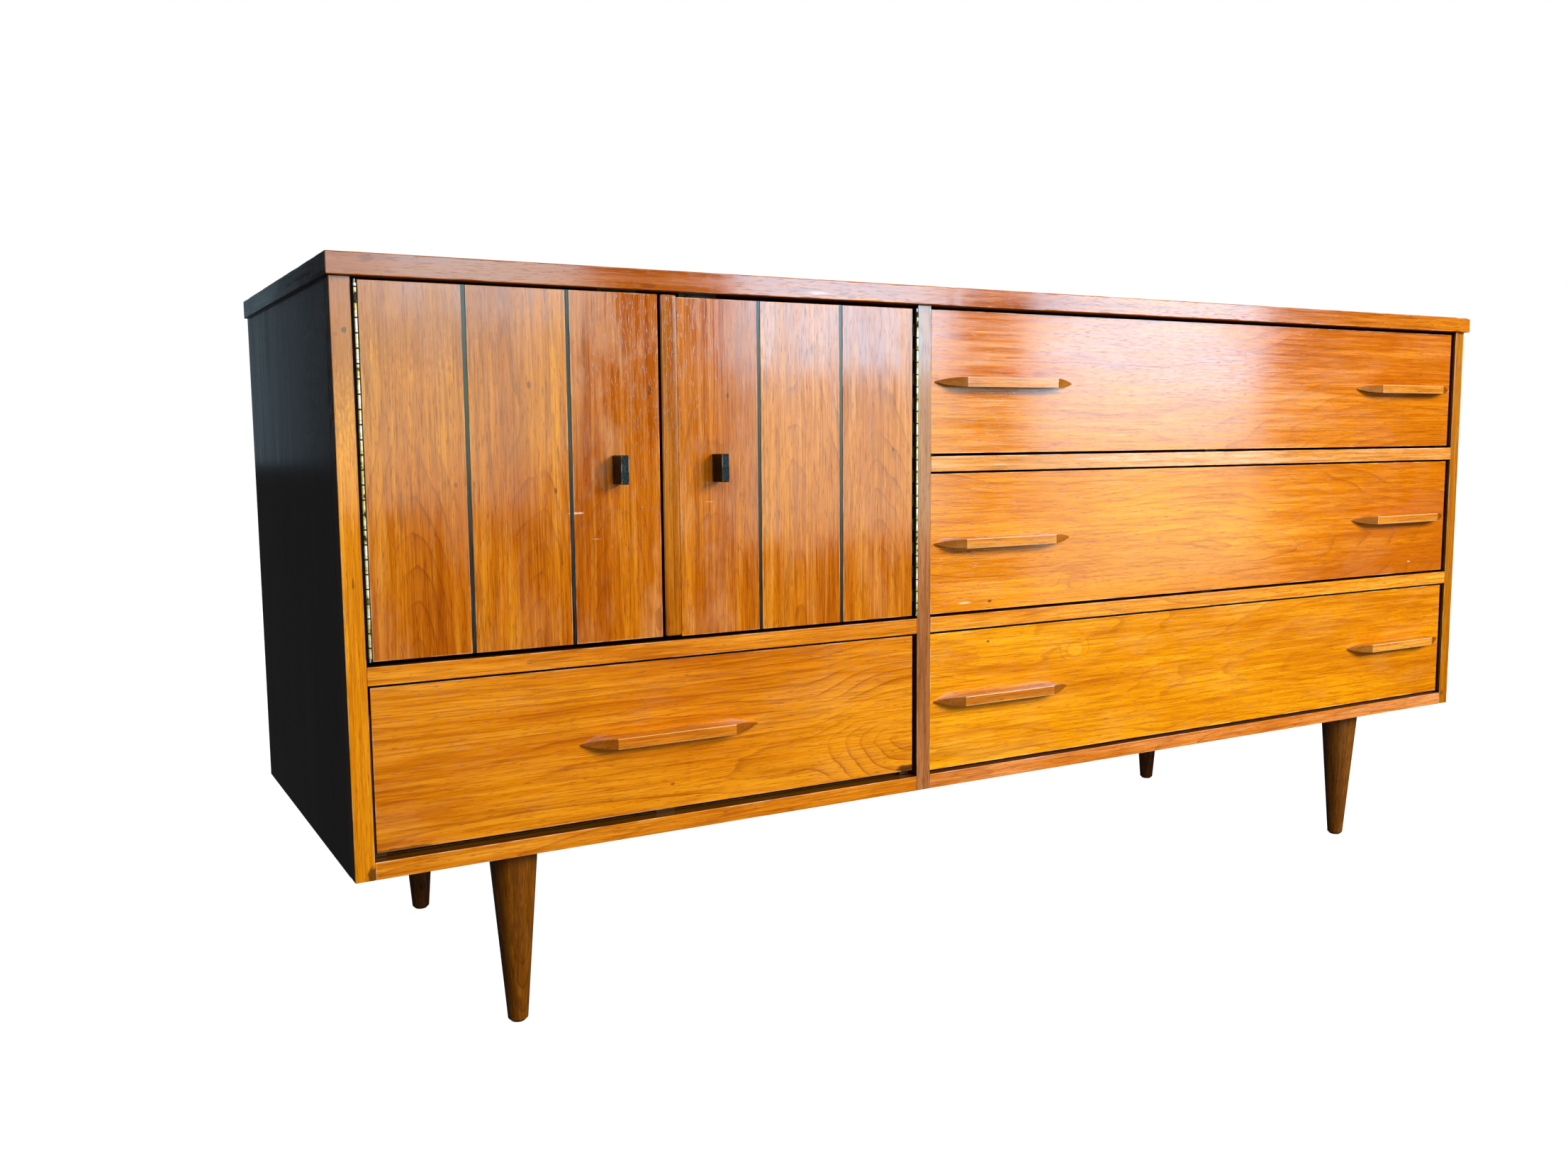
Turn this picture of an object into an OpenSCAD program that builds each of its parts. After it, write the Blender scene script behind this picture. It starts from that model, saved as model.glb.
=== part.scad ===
// Low cupboard chest: a long case on four turned legs, with a two-door
// cupboard over one drawer on the left and three wide drawers on the right.
// Inside place(), x runs from the case's left side, y from the front of the
// face frame and z from the underside of the case.

/* [Case] */
// Width of the case across its sides
case_w = 1517; // [1510:1:1600]
// Depth of the case from face frame to back
case_d = 451; // [430:1:500]
// Height of the case sides
case_h = 520; // [510:1:560]
// Thickness of the sides, the stiles and the partition
board_t = 17.5; // [16:0.5:19]
// Depth of the solid stiles and rails from front to back
frame_d = 20; // [18:1:24]
// Height of the rails and of the boards level with them
rail_t = 16.5; // [15:0.5:18]
// Thickness of the bottom board and of the bottom rails
bottom_t = 16; // [15:0.5:18]
// Left face of the centre stile
stile_x = 595; // [590:1:600]
// Upper face of the middle rails
mid_z = 189; // [185:1:195]
// Upper face of the rail under the top right drawer
upper_z = 362; // [356:1:368]
// Thickness of the back panel
back_t = 5; // [4:0.5:6]
// Width of the rebate in each side that takes the back panel
back_rebate = 8; // [6:0.5:10]

/* [Top] */
// Thickness of the top
top_t = 19; // [16:0.5:22]
// How far the top stands out over the face frame
overhang_front = 6.5; // [4:0.5:10]
// How far the top stands out over each side
overhang_side = 3.5; // [2:0.5:8]
// Thickness of the solid edging round the top
edging_t = 8; // [6:0.5:10]

/* [Legs] */
// Height of the case above the floor
leg_h = 176; // [150:1:200]
// Diameter of a leg where it meets the case
leg_top_d = 47; // [40:1:50]
// Diameter of a leg at the floor
leg_foot_d = 19.5; // [18:0.5:26]
// Distance from the left side of the case to the axes of the left legs
leg_side = 156; // [120:1:200]
// Distance from the right side of the case to the axes of the right legs
leg_side_right = 172; // [120:1:200]
// Distance from the face frame to the front leg axes
leg_front = 45; // [40:1:60]
// Distance from the back of the case to the back leg axes
leg_back = 42; // [40:1:60]
// Side of the square steel leg plate
plate_w = 60; // [56:1:66]
// Thickness of the leg plate
plate_t = 3; // [2:0.5:4]
// Diameter of the bolt that joins a leg to its plate
leg_bolt_d = 8; // [6:1:10]

/* [Doors] */
// Thickness of a door
door_t = 18; // [16:0.5:19]
// Width of the left door
left_door_w = 273.9; // [272:0.1:274]
// Width of the right door without its meeting strip
right_door_w = 271.6; // [270:0.1:272]
// Gap between the left door and its stile
left_gap = 5.5; // [5:0.1:6]
// Gap between the right door and the centre stile
right_gap = 7; // [6.5:0.1:8]
// Gap under the left door
left_sill_gap = 4.4; // [3:0.1:6]
// Gap under the right door
right_sill_gap = 3.4; // [2:0.1:6]
// Gap over the left door
left_head_gap = 2.6; // [2:0.1:5]
// Gap over the right door, which hangs a little low
right_head_gap = 4.3; // [2:0.1:6]
// Width of the meeting strip on the right door's free edge
strip_w = 17.2; // [16:0.1:17.2]
// How far the meeting strip stands proud of the doors
strip_proud = 2; // [1:0.1:3]
// Distance of the two dark inlays from the middle of a door
inlay_x = 47.2; // [40:0.1:60]
// Width of a dark inlay
inlay_w = 4.3; // [3:0.1:6]
// Depth of the groove that holds an inlay
inlay_d = 3; // [2:0.5:4]
// How far an inlay lies below the door's face
inlay_sunk = 0.6; // [0.3:0.1:1]

/* [Drawers] */
// Thickness of a drawer front
front_t = 18; // [16:0.5:20]
// How far the drawer fronts lie behind the face frame
front_sunk = 4.5; // [2:0.5:6]
// Gap beside a drawer front
front_gap = 2.8; // [2:0.1:4]
// Length of a drawer side
side_len = 404; // [380:1:405]
// Thickness of the drawer sides and backs
side_t = 12; // [10:0.5:14]
// Height of a drawer side
side_h = 128; // [110:1:132]
// Gap between the drawer sides and the case
side_gap = 1.5; // [1:0.1:2]
// Thickness of a drawer bottom
floor_t = 4; // [3:0.5:6]
// Height of the drawer bottom over the sides' lower edges
floor_lift = 12; // [11.5:0.5:15]

/* [Handles] */
// Length of a handle against the drawer front
handle_l = 190; // [160:1:200]
// Length of a handle's flat front
handle_front_l = 129; // [100:1:140]
// Height of a handle in its middle
handle_h = 10.4; // [8:0.1:14]
// How far a handle stands out
handle_proud = 16.5; // [12:0.5:18]
// Distance of the two handles from a wide drawer's middle
handle_x = 341; // [250:1:341]
// Width of a door knob
knob_w = 8; // [6:0.5:12]
// Height of a door knob
knob_h = 27; // [20:1:36]
// Depth of a door knob
knob_d = 21; // [15:0.5:21]
// Distance of the left knob from its door's free edge
left_knob_edge = 44.5; // [40:0.5:60]
// Distance of the right knob from the meeting strip
right_knob_edge = 40; // [36:0.5:60]

/* [Hardware] */
// Diameter of the piano hinge barrel
barrel_d = 4; // [3.6:0.1:4.2]
// Diameter of the hinge pin
pin_d = 1.8; // [1.4:0.1:2]
// Length of one hinge knuckle
knuckle_l = 12.7; // [10:0.1:20]
// Thickness of a hinge leaf
leaf_t = 0.8; // [0.6:0.1:0.9]
// Depth of a hinge leaf from front to back
leaf_d = 14; // [10:0.5:16]
// How far the hinge axis lies in front of the face frame
hinge_out = 1.2; // [1:0.1:1.4]
// Width of a drawer guide
guide_w = 20; // [16:1:30]
// Height of a drawer guide
guide_h = 9; // [6:0.5:10]
// Diameter of a shelf pin
shelf_pin_d = 5; // [4:0.5:6]
// Thickness of the cupboard shelf
shelf_t = 16; // [12:0.5:18]
// Underside of the cupboard shelf
shelf_z = 340; // [300:1:380]

/* [Hidden] */
$fn = 48;

// Colours
face_wood = "#b8691d";
strip_wood = "#c27a2c";
side_wood = "#5b3418";
leg_wood = "#9a6224";
plain_wood = "#cfae7d";
ply_wood = "#b98f5e";
black = "#161414";
brass = "#c9a24a";
steel = "#9a9a9c";

// The frame's origin is under the middle of the whole object's box.
origin_y = (case_d - knob_d) / 2;
eps = 0.05;

// Bays
left_x0 = board_t;
left_x1 = stile_x;
right_x0 = stile_x + board_t;
right_x1 = case_w - board_t;
mid_z0 = mid_z - rail_t;
upper_z0 = upper_z - rail_t;
back_y = case_d - back_t;

// Doors
left_barrel_gap = 1;
right_barrel_gap = 0.4;
leaf_setback = 0.5;
left_door_x = left_x0 + left_gap;
right_door_x = left_x1 - right_gap - right_door_w;
strip_x = right_door_x - strip_w;
left_hinge_x = left_x0 + left_barrel_gap + barrel_d / 2;
right_hinge_x = left_x1 - right_barrel_gap - barrel_d / 2;
left_door_h = case_h - left_head_gap - mid_z - left_sill_gap;
right_door_h = case_h - right_head_gap - mid_z - right_sill_gap;
strip_lift = 1.2;
knob_z = (mid_z + case_h) / 2;
catch_size = [40, 15, 16];
catch_gap = 0.6;
strike_t = 1.2;

// Openings of the drawers: left, right, bottom, top, gap under the front, gap over it
bays = [
    [right_x0, right_x1, upper_z, case_h, 2.8, 3.6],
    [right_x0, right_x1, mid_z, upper_z0, 2.5, 2.4],
    [right_x0, right_x1, bottom_t, mid_z0, 3.2, 2.7],
    [left_x0, left_x1, bottom_t, mid_z0, 6.5, 2.4]
];
run_gap = 0.5;
floor_groove = 5;
guide_gap = 0.7;
front_rebate = 9;
front_y1 = front_sunk + front_t;
side_y0 = front_y1 - front_rebate;
side_y1 = side_y0 + side_len;

// Legs
foot_chamfer = 3;
bolt_up = 13;
bolt_down = 35;
plate_hole_d = 5;
plate_hole_r = 0.56 * plate_w;

// Cupboard shelf
shelf_front = 60;
shelf_side_gap = 1;
pin_in = 9;
pin_out = 9;
pin_rows = [-32, 0, 32];
pin_setback = 40;

module place() {
    translate([-case_w / 2, -origin_y, leg_h]) children();
}

// A board between two corners
module board(low, high) {
    translate(low) cube(high - low);
}

// Case ---------------------------------------------------------------

module top_panel() {
    color(face_wood) place()
        board([edging_t - overhang_side, edging_t - overhang_front, case_h],
              [case_w + overhang_side - edging_t, case_d, case_h + top_t]);
}

// Three mitred strips: the front one and one along each end
module top_edging() {
    x0 = -overhang_side;
    x1 = case_w + overhang_side;
    y0 = -overhang_front;
    color(face_wood) place() translate([0, 0, case_h]) linear_extrude(top_t) {
        polygon([[x0 + eps, y0], [x1 - eps, y0], [x1 - edging_t - eps, y0 + edging_t],
                 [x0 + edging_t + eps, y0 + edging_t]]);
        polygon([[x0, y0 + eps], [x0 + edging_t, y0 + edging_t + eps], [x0 + edging_t, case_d],
                 [x0, case_d]]);
        polygon([[x1, y0 + eps], [x1, case_d], [x1 - edging_t, case_d],
                 [x1 - edging_t, y0 + edging_t + eps]]);
    }
}

// Holes for the shelf pins, drilled along x from the face at x
module shelf_pin_holes(x, dir) {
    for (y = [shelf_front + pin_setback, back_y - pin_setback], row = pin_rows) {
        translate([x, y, shelf_z - shelf_pin_d / 2 + row]) rotate([0, 90 * dir, 0])
            translate([0, 0, -eps]) cylinder(d = shelf_pin_d + 0.1, h = pin_in + 1);
    }
}

module side_panel(x, rebate_x) {
    difference() {
        board([x, frame_d, 0], [x + board_t, case_d, case_h]);
        board([rebate_x, back_y, -1], [rebate_x + back_rebate + 1, case_d + 1, case_h + 1]);
    }
}

module side_panel_left() {
    color(side_wood) place() difference() {
        side_panel(0, board_t - back_rebate);
        shelf_pin_holes(left_x0, -1);
    }
}

module side_panel_right() {
    color(side_wood) place() side_panel(case_w - board_t, case_w - board_t - 1);
}

module stile(x) {
    color(strip_wood) place() board([x, 0, 0], [x + board_t, frame_d, case_h]);
}

module centre_partition() {
    color(plain_wood) place() difference() {
        board([left_x1, frame_d, bottom_t], [right_x0, back_y, case_h]);
        shelf_pin_holes(left_x1, 1);
    }
}

// Leg axes as [x, y]
function leg_at(right, back) = [
    right ? case_w - leg_side_right : leg_side,
    back ? case_d - leg_back : leg_front
];

module at_legs() {
    for (right = [false, true], back = [false, true]) {
        translate(leg_at(right, back)) children();
    }
}

module bottom_panel() {
    color(plain_wood) place() difference() {
        board([left_x0, frame_d, 0], [right_x1, back_y, bottom_t]);
        at_legs() translate([0, 0, -1]) cylinder(d = leg_bolt_d + 1, h = bolt_up + 1.5);
    }
}

module rail(x0, x1, z0, z1) {
    color(strip_wood) place() board([x0, 0, z0], [x1, frame_d, z1]);
}

module cupboard_floor() {
    color(plain_wood) place() board([left_x0, frame_d, mid_z0], [left_x1, back_y, mid_z]);
}

module dust_panels() {
    color(plain_wood) place() for (z = [mid_z, upper_z]) {
        board([right_x0, frame_d, z - rail_t], [right_x1, back_y, z]);
    }
}

module back_panel() {
    color(ply_wood) place()
        board([board_t - back_rebate, back_y, 0], [case_w - board_t + back_rebate, case_d, case_h]);
}

module cupboard_shelf() {
    color(plain_wood) place()
        board([left_x0 + shelf_side_gap, shelf_front, shelf_z],
              [left_x1 - shelf_side_gap, back_y - shelf_side_gap, shelf_z + shelf_t]);
}

module shelf_pins() {
    pin_l = pin_in + pin_out;
    color(brass) place() for (y = [shelf_front + pin_setback, back_y - pin_setback]) {
        translate([left_x0 - pin_in, y, shelf_z - shelf_pin_d / 2]) rotate([0, 90, 0])
            cylinder(d = shelf_pin_d, h = pin_l);
        translate([left_x1 - pin_out, y, shelf_z - shelf_pin_d / 2]) rotate([0, 90, 0])
            cylinder(d = shelf_pin_d, h = pin_l);
    }
}

// One strip under the middle of each drawer; its front end stops the drawer
module drawer_guides() {
    color(plain_wood) place() for (bay = bays) {
        x = (bay[0] + bay[1]) / 2;
        board([x - guide_w / 2, front_y1 + 0.5, bay[2]], [x + guide_w / 2, back_y, bay[2] + guide_h]);
    }
}

// Legs ---------------------------------------------------------------

module leg(right, back) {
    r0 = leg_foot_d / 2;
    color(leg_wood) place() translate([0, 0, -leg_h]) translate(leg_at(right, back)) difference() {
        rotate_extrude($fn = 64) polygon([
            [0, 0], [r0 - foot_chamfer, 0], [r0, foot_chamfer],
            [leg_top_d / 2, leg_h - plate_t], [0, leg_h - plate_t]
        ]);
        translate([0, 0, leg_h - plate_t - bolt_down]) cylinder(d = leg_bolt_d + 0.1, h = bolt_down + 1);
    }
}

module leg_plates() {
    color(steel) place() at_legs() difference() {
        translate([-plate_w / 2, -plate_w / 2, -plate_t])
            cube([plate_w, plate_w, plate_t]);
        translate([0, 0, -plate_t - 1]) cylinder(d = leg_bolt_d + 0.1, h = plate_t + 2);
        for (a = [45:90:315]) {
            rotate(a) translate([plate_hole_r, 0, -plate_t - 1])
                cylinder(d = plate_hole_d, h = plate_t + 2);
        }
    }
}

module leg_bolts() {
    color(steel) place() at_legs() translate([0, 0, -plate_t - bolt_down + 1])
        cylinder(d = leg_bolt_d, h = bolt_down + plate_t + bolt_up - 2);
}

// Doors --------------------------------------------------------------

module door(x, w, z, h) {
    difference() {
        board([x, 0, z], [x + w, door_t, z + h]);
        for (side = [-1, 1]) {
            translate([x + w / 2 + side * inlay_x - inlay_w / 2, -1, z - 1])
                cube([inlay_w, inlay_d + 1, h + 2]);
        }
    }
}

module door_left() {
    color(face_wood) place() door(left_door_x, left_door_w, mid_z + left_sill_gap, left_door_h);
}

module door_right() {
    color(face_wood) place() door(right_door_x, right_door_w, mid_z + right_sill_gap, right_door_h);
}

module inlays(x, w, z, h) {
    color(black) place() for (side = [-1, 1]) {
        translate([x + w / 2 + side * inlay_x - inlay_w / 2, inlay_sunk, z])
            cube([inlay_w, inlay_d - inlay_sunk, h]);
    }
}

module inlays_left() {
    inlays(left_door_x, left_door_w, mid_z + left_sill_gap, left_door_h);
}

module inlays_right() {
    inlays(right_door_x, right_door_w, mid_z + right_sill_gap, right_door_h);
}

module meeting_strip() {
    color(strip_wood) place()
        board([strip_x, -strip_proud, mid_z + right_sill_gap + strip_lift],
              [right_door_x, door_t, case_h - left_head_gap]);
}

module knob(x) {
    color(black) place() translate([x - knob_w / 2, -knob_d, knob_z - knob_h / 2])
        cube([knob_w, knob_d, knob_h]);
}

// One leaf of a piano hinge about the axis at hinge_x. The leaf lies on the
// face at leaf_x, toward side, and carries every second knuckle from first.
module hinge_leaf(hinge_x, leaf_x, side, z, h, first) {
    count = floor(h / knuckle_l);
    z0 = z + (h - count * knuckle_l) / 2;
    play = 0.2;
    face = side > 0 ? leaf_x : leaf_x - leaf_t;
    difference() {
        union() {
            translate([face, leaf_setback, z]) cube([leaf_t, leaf_d, h]);
            for (i = [first:2:count - 1]) {
                translate([0, 0, z0 + i * knuckle_l + play]) {
                    translate([hinge_x, -hinge_out, 0]) cylinder(d = barrel_d, h = knuckle_l - 2 * play);
                    translate([min(hinge_x, leaf_x), 0, 0])
                        cube([abs(hinge_x - leaf_x), leaf_t, knuckle_l - 2 * play]);
                }
            }
        }
        translate([hinge_x, -hinge_out, z - 1]) cylinder(d = pin_d + 0.1, h = h + 2);
    }
}

module hinge_leaves_case() {
    color(brass) place() {
        hinge_leaf(left_hinge_x, left_x0, 1, mid_z + left_sill_gap, left_door_h, 0);
        hinge_leaf(right_hinge_x, left_x1, -1, mid_z + right_sill_gap, right_door_h, 0);
    }
}

module hinge_leaf_left() {
    color(brass) place()
        hinge_leaf(left_hinge_x, left_door_x, -1, mid_z + left_sill_gap, left_door_h, 1);
}

module hinge_leaf_right() {
    color(brass) place()
        hinge_leaf(right_hinge_x, right_door_x + right_door_w, 1, mid_z + right_sill_gap, right_door_h, 1);
}

module hinge_pins() {
    color(steel) place() {
        translate([left_hinge_x, -hinge_out, mid_z + left_sill_gap])
            cylinder(d = pin_d, h = left_door_h);
        translate([right_hinge_x, -hinge_out, mid_z + right_sill_gap])
            cylinder(d = pin_d, h = right_door_h);
    }
}

// Magnetic catches under the top, one behind each door's free edge
left_catch_x = left_door_x + left_door_w - catch_size[0] - 12;
right_catch_x = right_door_x + 12;

module door_catches() {
    y = door_t + strike_t + catch_gap;
    color(steel) place() for (x = [left_catch_x, right_catch_x]) {
        translate([x, y, case_h - catch_size[2]]) cube(catch_size);
    }
}

module strike(x) {
    color(steel) place() translate([x + 4, door_t, case_h - catch_size[2]])
        cube([catch_size[0] - 8, strike_t, 10]);
}

// Drawers ------------------------------------------------------------

function side_z(bay) = bay[2] + run_gap;
function side_x0(bay) = bay[0] + side_gap;
function side_x1(bay) = bay[1] - side_gap;

// The space of the drawer bottom, grooved into the front, the back and both sides
module drawer_floor(bay) {
    board([side_x0(bay) + side_t - floor_groove, front_y1 - floor_groove, side_z(bay) + floor_lift],
          [side_x1(bay) - side_t + floor_groove, side_y1 - side_t + floor_groove,
           side_z(bay) + floor_lift + floor_t]);
}

module drawer_front(bay) {
    color(face_wood) place() difference() {
        board([bay[0] + front_gap, front_sunk, bay[2] + bay[4]],
              [bay[1] - front_gap, front_y1, bay[3] - bay[5]]);
        for (x = [bay[0], side_x1(bay) - side_t]) {
            translate([x, side_y0, bay[2]]) cube([side_t + side_gap, front_rebate + 1, bay[3] - bay[2]]);
        }
        drawer_floor(bay);
    }
}

module drawer_sides(bay) {
    color(plain_wood) place() difference() {
        for (x = [side_x0(bay), side_x1(bay) - side_t]) {
            translate([x, side_y0, side_z(bay)]) cube([side_t, side_len, side_h]);
        }
        drawer_floor(bay);
    }
}

// Fits between the sides; a notch in its lower edge rides over the guide
module drawer_back(bay) {
    notch_w = guide_w + 2 * guide_gap;
    color(plain_wood) place() difference() {
        board([side_x0(bay) + side_t, side_y1 - side_t, side_z(bay)],
              [side_x1(bay) - side_t, side_y1, side_z(bay) + side_h]);
        translate([(bay[0] + bay[1] - notch_w) / 2, side_y1 - side_t - 1, side_z(bay) - 1])
            cube([notch_w, side_t + 2, guide_h + 1.5]);
        drawer_floor(bay);
    }
}

module drawer_bottom(bay) {
    color(ply_wood) place() drawer_floor(bay);
}

// Front view of a handle: long flat curves that close to a point at each end
function handle_half(x) = 0.6 + (handle_h / 2 - 0.6) * (1 - pow(abs(x) / (handle_l / 2), 7));

module handle(x, z) {
    steps = 36;
    xs = [for (i = [0:steps]) -handle_l / 2 + handle_l * i / steps];
    upper = [for (v = xs) [v, handle_half(v)]];
    lower = [for (i = [steps:-1:0]) [xs[i], -handle_half(xs[i])]];
    translate([x, front_sunk, z]) intersection() {
        rotate([90, 0, 0]) linear_extrude(handle_proud) polygon(concat(upper, lower));
        translate([0, 0, -handle_h]) linear_extrude(2 * handle_h) polygon([
            [-handle_l / 2, 0], [-handle_l / 2, -1.5], [-handle_front_l / 2, -handle_proud],
            [handle_front_l / 2, -handle_proud], [handle_l / 2, -1.5], [handle_l / 2, 0]
        ]);
    }
}

module drawer_handles(bay, offsets) {
    x = (bay[0] + bay[1]) / 2;
    z = (bay[2] + bay[4] + bay[3] - bay[5]) / 2;
    color(strip_wood) place() for (dx = offsets) handle(x + dx, z);
}

wide = [-handle_x, handle_x];

top_panel();
top_edging();
side_panel_left();
side_panel_right();
stile(0);  // stile_left
stile(stile_x);  // stile_centre
stile(case_w - board_t);  // stile_right
centre_partition();
bottom_panel();
rail(left_x0, left_x1, 0, bottom_t);  // rail_bottom_left
rail(right_x0, right_x1, 0, bottom_t);  // rail_bottom_right
rail(left_x0, left_x1, mid_z0, mid_z);  // rail_middle_left
rail(right_x0, right_x1, mid_z0, mid_z);  // rail_middle_right
rail(right_x0, right_x1, upper_z0, upper_z);  // rail_upper_right
cupboard_floor();
dust_panels();
back_panel();
cupboard_shelf();
shelf_pins();
drawer_guides();
leg(false, false);  // leg_front_left
leg(true, false);  // leg_front_right
leg(false, true);  // leg_back_left
leg(true, true);  // leg_back_right
leg_plates();
leg_bolts();
hinge_leaves_case();
hinge_pins();
door_catches();
door_left();
door_right();
inlays_left();
inlays_right();
meeting_strip();
knob(left_door_x + left_door_w - left_knob_edge);  // knob_left
knob(right_door_x + right_knob_edge);  // knob_right
hinge_leaf_left();
hinge_leaf_right();
strike(left_catch_x);  // strike_left
strike(right_catch_x);  // strike_right
drawer_front(bays[0]);  // drawer_1_front
drawer_sides(bays[0]);  // drawer_1_sides
drawer_back(bays[0]);  // drawer_1_back
drawer_bottom(bays[0]);  // drawer_1_bottom
drawer_handles(bays[0], wide);  // drawer_1_handles
drawer_front(bays[1]);  // drawer_2_front
drawer_sides(bays[1]);  // drawer_2_sides
drawer_back(bays[1]);  // drawer_2_back
drawer_bottom(bays[1]);  // drawer_2_bottom
drawer_handles(bays[1], wide);  // drawer_2_handles
drawer_front(bays[2]);  // drawer_3_front
drawer_sides(bays[2]);  // drawer_3_sides
drawer_back(bays[2]);  // drawer_3_back
drawer_bottom(bays[2]);  // drawer_3_bottom
drawer_handles(bays[2], wide);  // drawer_3_handles
drawer_front(bays[3]);  // drawer_4_front
drawer_sides(bays[3]);  // drawer_4_sides
drawer_back(bays[3]);  // drawer_4_back
drawer_bottom(bays[3]);  // drawer_4_bottom
drawer_handles(bays[3], [0]);  // drawer_4_handle
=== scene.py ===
import math
import random

import bmesh
import bpy
from mathutils import Matrix, Vector, noise


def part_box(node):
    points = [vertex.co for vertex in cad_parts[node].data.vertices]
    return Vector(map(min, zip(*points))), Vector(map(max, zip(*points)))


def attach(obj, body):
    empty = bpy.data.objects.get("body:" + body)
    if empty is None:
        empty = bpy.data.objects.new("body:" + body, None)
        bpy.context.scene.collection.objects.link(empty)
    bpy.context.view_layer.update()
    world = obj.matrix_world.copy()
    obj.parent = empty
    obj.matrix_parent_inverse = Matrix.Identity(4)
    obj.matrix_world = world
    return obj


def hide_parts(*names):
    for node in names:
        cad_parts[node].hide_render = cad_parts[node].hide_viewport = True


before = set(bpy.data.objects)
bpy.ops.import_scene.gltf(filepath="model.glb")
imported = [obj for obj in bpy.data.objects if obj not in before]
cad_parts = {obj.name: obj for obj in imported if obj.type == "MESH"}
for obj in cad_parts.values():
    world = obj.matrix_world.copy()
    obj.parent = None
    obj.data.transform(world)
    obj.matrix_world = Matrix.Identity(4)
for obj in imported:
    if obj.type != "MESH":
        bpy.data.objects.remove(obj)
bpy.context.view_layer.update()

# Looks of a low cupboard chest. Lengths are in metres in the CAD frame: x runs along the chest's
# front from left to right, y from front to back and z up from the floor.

MM = 0.001
AXES = {"x": 0, "y": 1, "z": 2}
KNUCKLE = 12.7 * MM
INLAY_DEPTH = 3 * MM
INLAY_WIDTH = 3.6 * MM


# Shader building ------------------------------------------------------


class Shade:
    """A Principled material, with short calls that add nodes to its tree."""

    def __init__(self, name, **sockets):
        self.material = bpy.data.materials.new(name)
        self.material.use_nodes = True
        self.nodes = self.material.node_tree.nodes
        self.links = self.material.node_tree.links
        self.nodes.clear()
        self.shader = self.nodes.new("ShaderNodeBsdfPrincipled")
        output = self.nodes.new("ShaderNodeOutputMaterial")
        self.links.new(self.shader.outputs["BSDF"], output.inputs["Surface"])
        for label, value in sockets.items():
            self.put(self.shader.inputs[label.replace("_", " ")], value)

    def put(self, socket, value):
        """Links the socket to another node's output, or sets it to a number or a colour."""
        if isinstance(value, bpy.types.NodeSocket):
            self.links.new(value, socket)
        elif isinstance(value, tuple) and socket.type == "RGBA":
            socket.default_value = (*value, 1.0)
        else:
            socket.default_value = value

    def finish(self, colour, roughness, height=None, depth=0.3 * MM):
        self.put(self.shader.inputs["Base Color"], colour)
        self.put(self.shader.inputs["Roughness"], roughness)
        if height is not None:
            bump = self.nodes.new("ShaderNodeBump")
            bump.inputs["Strength"].default_value = 1.0
            bump.inputs["Distance"].default_value = depth
            self.put(bump.inputs["Height"], height)
            self.put(self.shader.inputs["Normal"], bump.outputs["Normal"])
        return self.material

    def math(self, operation, a, b=0.0):
        node = self.nodes.new("ShaderNodeMath")
        node.operation = operation
        self.put(node.inputs[0], a)
        self.put(node.inputs[1], b)
        return node.outputs[0]

    def times(self, a, b):
        return self.math("MULTIPLY", a, b)

    def plus(self, a, b):
        return self.math("ADD", a, b)

    def span(self, value, low, high, to_low=0.0, to_high=1.0):
        """value carried smoothly from low..high to to_low..to_high and held beyond both ends."""
        node = self.nodes.new("ShaderNodeMapRange")
        node.interpolation_type = "SMOOTHSTEP"
        for socket, given in zip(node.inputs, (value, low, high, to_low, to_high)):
            self.put(socket, given)
        return node.outputs[0]

    def mix(self, factor, a, b):
        node = self.nodes.new("ShaderNodeMix")
        node.data_type = "RGBA"
        self.put(node.inputs[0], factor)
        self.put(node.inputs[6], a)
        self.put(node.inputs[7], b)
        return node.outputs[2]

    def ramp(self, value, *stops):
        """Colour from a value, with stops given as (position, colour)."""
        node = self.nodes.new("ShaderNodeValToRGB")
        elements = node.color_ramp.elements
        while len(elements) < len(stops):
            elements.new(0.5)
        for element, (position, colour) in zip(elements, stops):
            element.position = position
            element.color = (*colour, 1.0)
        self.put(node.inputs[0], value)
        return node.outputs[0]

    def place(self, vector, scale, shift=(0, 0, 0)):
        node = self.nodes.new("ShaderNodeMapping")
        self.put(node.inputs["Vector"], vector)
        node.inputs["Scale"].default_value = scale
        node.inputs["Location"].default_value = shift
        return node.outputs[0]

    def noise(self, vector, scale, shift=(0, 0, 0), detail=2.0, rough=0.5):
        """Noise about 0.5, stretched by a scale along each direction."""
        node = self.nodes.new("ShaderNodeTexNoise")
        self.put(node.inputs["Vector"], self.place(vector, scale, shift))
        node.inputs["Scale"].default_value = 1.0
        node.inputs["Detail"].default_value = detail
        node.inputs["Roughness"].default_value = rough
        return node.outputs[0]

    def here(self, axes):
        """The point on the object as (along the grain, across it, into the board)."""
        source = self.nodes.new("ShaderNodeTexCoord").outputs["Object"]
        split = self.nodes.new("ShaderNodeSeparateXYZ")
        self.put(split.inputs[0], source)
        join = self.nodes.new("ShaderNodeCombineXYZ")
        parts = [split.outputs[AXES[axis]] for axis in axes]
        for socket, part in zip(join.inputs, parts):
            self.put(socket, part)
        return join.outputs[0], parts

    def facing(self, axis):
        """How far the surface faces up along an axis of the object."""
        source = self.nodes.new("ShaderNodeTexCoord").outputs["Normal"]
        split = self.nodes.new("ShaderNodeSeparateXYZ")
        self.put(split.inputs[0], source)
        return split.outputs[AXES[axis]]


# Wood -----------------------------------------------------------------


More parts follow.
